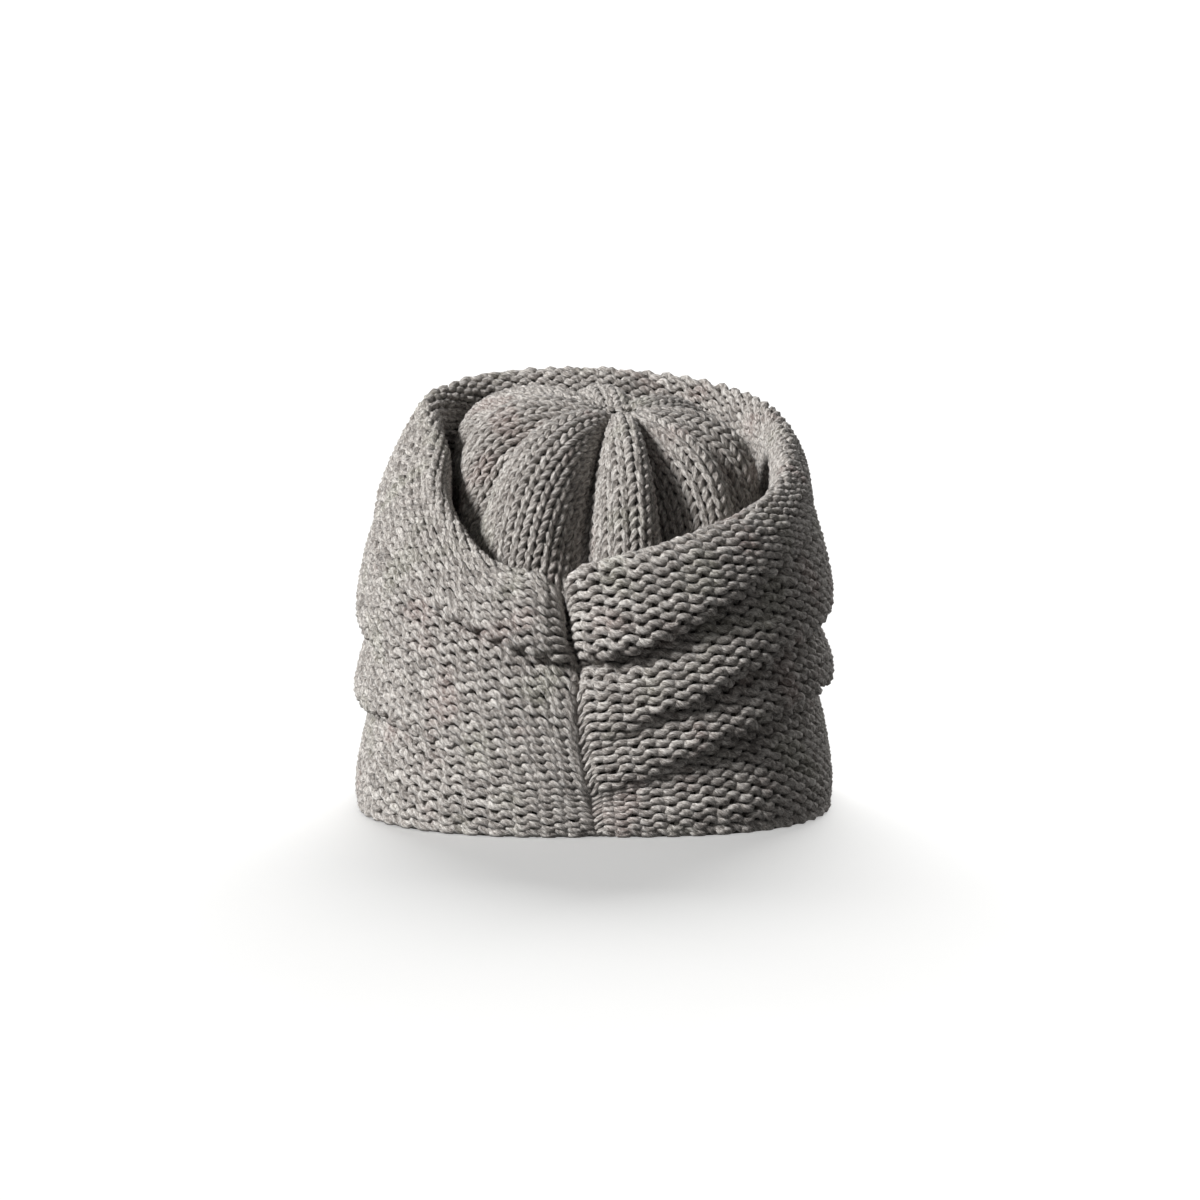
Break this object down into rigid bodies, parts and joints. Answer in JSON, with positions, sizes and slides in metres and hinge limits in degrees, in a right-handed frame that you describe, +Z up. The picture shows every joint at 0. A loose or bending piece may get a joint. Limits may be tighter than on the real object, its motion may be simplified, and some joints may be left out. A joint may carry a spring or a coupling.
{
  "type": "knitted beanie hat",
  "caption": "Slouchy chunky-knit beanie scrunched into soft horizontal folds, with a slanted rolled collar round a gathered crown and a seam up the back.",
  "frame": {"origin": "middle of the hat's plan box, at the level of the hem it stands on", "axes": "+Z up from the hem to the crown, -Y towards the back seam, +X towards the wearer's right"},
  "size_m": [0.186, 0.1955, 0.1641],
  "materials": {
    "body_knit": "chunky heather knit, purl side out",
    "crown_knit": "chunky heather knit, knit side out",
    "seam_knit": "raised edge stitches"
  },
  "bodies": {
    "root": {"body": "body_knit", "crown": "crown_knit", "back_seam": "seam_knit"}
  },
  "joints": []
}
